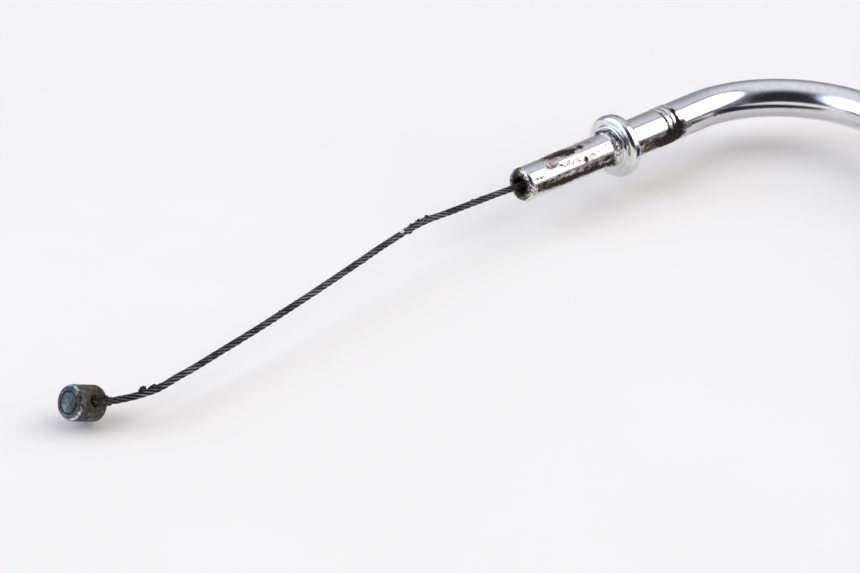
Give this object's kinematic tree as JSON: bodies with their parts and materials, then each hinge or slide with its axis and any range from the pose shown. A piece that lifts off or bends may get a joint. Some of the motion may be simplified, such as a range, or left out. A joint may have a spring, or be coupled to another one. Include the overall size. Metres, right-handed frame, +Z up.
{
  "type": "motorcycle throttle cable",
  "caption": "Motorcycle throttle cable: barrel nipple on a stranded wire, chromed guide pipe with flange collar and bend, adjuster under a rubber boot, coiled casing and threaded far end.",
  "frame": {"origin": "centre of the collar's front face, on the guide pipe's axis", "axes": "+X runs along the guide pipe from its mouth into the bend, the bend turns towards -Y, +Z is up; the cable lies on z = -9 mm"},
  "size_m": [0.1779, 0.2176, 0.018],
  "materials": {
    "chrome_pipe": "polished chrome with brown and black grime on the tip and at the marking rings",
    "chrome_collar": "polished chrome",
    "liner": "translucent low-friction plastic",
    "wire": "greasy stranded steel",
    "nipple": "dull die-cast zinc, worn bright at its edges",
    "zinc": "bright zinc plate",
    "nut_zinc": "bright zinc plate",
    "cap": "drawn steel cap",
    "boot": "matt black rubber",
    "casing": "satin black plastic over the wound steel",
    "tie": "natural nylon"
  },
  "bodies": {
    "guide": {"guide_pipe": "chrome_pipe", "pipe_collar": "chrome_collar", "pipe_liner": "liner", "adjuster_stud": "zinc", "casing_run": "casing", "casing_coil": "casing", "casing_tail": "casing", "coil_tie_1": "tie", "coil_tie_2": "tie", "coil_tie_3": "tie", "carb_cap": "cap", "carb_ferrule": "zinc", "carb_seal": "boot"},
    "grip_end": {"grip_wire": "wire", "grip_nipple": "nipple"},
    "carb_end": {"carb_wire": "wire", "carb_nipple": "nipple"},
    "cap_slider": {"casing_cap": "cap", "lock_washer": "zinc"},
    "barrel": {"adjuster_barrel": "nut_zinc"},
    "nut": {"lock_nut": "nut_zinc"},
    "boot": {"adjuster_boot": "boot"},
    "rear_clamp": {"rear_washer": "zinc"},
    "rear_clamp_nut": {"rear_nut": "nut_zinc"},
    "front_clamp": {"front_washer": "zinc"},
    "front_clamp_nut": {"front_nut": "nut_zinc"}
  },
  "joints": [
    {"name": "throttle_pull", "type": "slide", "parent": "guide", "child": "grip_end", "axis": [-1, 0, 0], "range_m": [-0.006, 0.026]},
    {"name": "carb_draw", "type": "slide", "parent": "guide", "child": "carb_end", "axis": [1, 0, 0], "range_m": [-0.006, 0.026]},
    {"name": "adjuster_travel", "type": "slide", "parent": "guide", "child": "cap_slider", "axis": [0, 1, 0], "range_m": [0, 0.005]},
    {"name": "adjuster_turn", "type": "hinge", "parent": "cap_slider", "child": "barrel", "pos_m": [0.0455, -0.07, 0], "axis": [0, 1, 0], "range_deg": [0, 1440]},
    {"name": "lock_nut_turn", "type": "hinge", "parent": "cap_slider", "child": "nut", "pos_m": [0.0455, -0.063, 0], "axis": [0, 1, 0], "range_deg": [0, 1440]},
    {"name": "boot_pull", "type": "slide", "parent": "cap_slider", "child": "boot", "axis": [0, -1, 0], "range_m": [0, 0.03]},
    {"name": "rear_nut_travel", "type": "slide", "parent": "guide", "child": "rear_clamp", "axis": [1, 0, 0], "range_m": [0, 0.003]},
    {"name": "rear_nut_turn", "type": "hinge", "parent": "rear_clamp", "child": "rear_clamp_nut", "pos_m": [-0.033, -0.206, -0.0032], "axis": [1, 0, 0], "range_deg": [0, 1080]},
    {"name": "front_nut_travel", "type": "slide", "parent": "guide", "child": "front_clamp", "axis": [-1, 0, 0], "range_m": [0, 0.008]},
    {"name": "front_nut_turn", "type": "hinge", "parent": "front_clamp", "child": "front_clamp_nut", "pos_m": [-0.0434, -0.206, -0.0032], "axis": [-1, 0, 0], "range_deg": [0, 2880]}
  ],
  "couplings": [
    {"joint": "carb_draw", "follows": "throttle_pull", "ratio": 1},
    {"joint": "adjuster_turn", "follows": "adjuster_travel", "rad_per_m": 5026.5},
    {"joint": "lock_nut_turn", "follows": "adjuster_travel", "rad_per_m": 5026.5},
    {"joint": "rear_nut_turn", "follows": "rear_nut_travel", "rad_per_m": 6283.2},
    {"joint": "front_nut_turn", "follows": "front_nut_travel", "rad_per_m": 6283.2}
  ]
}
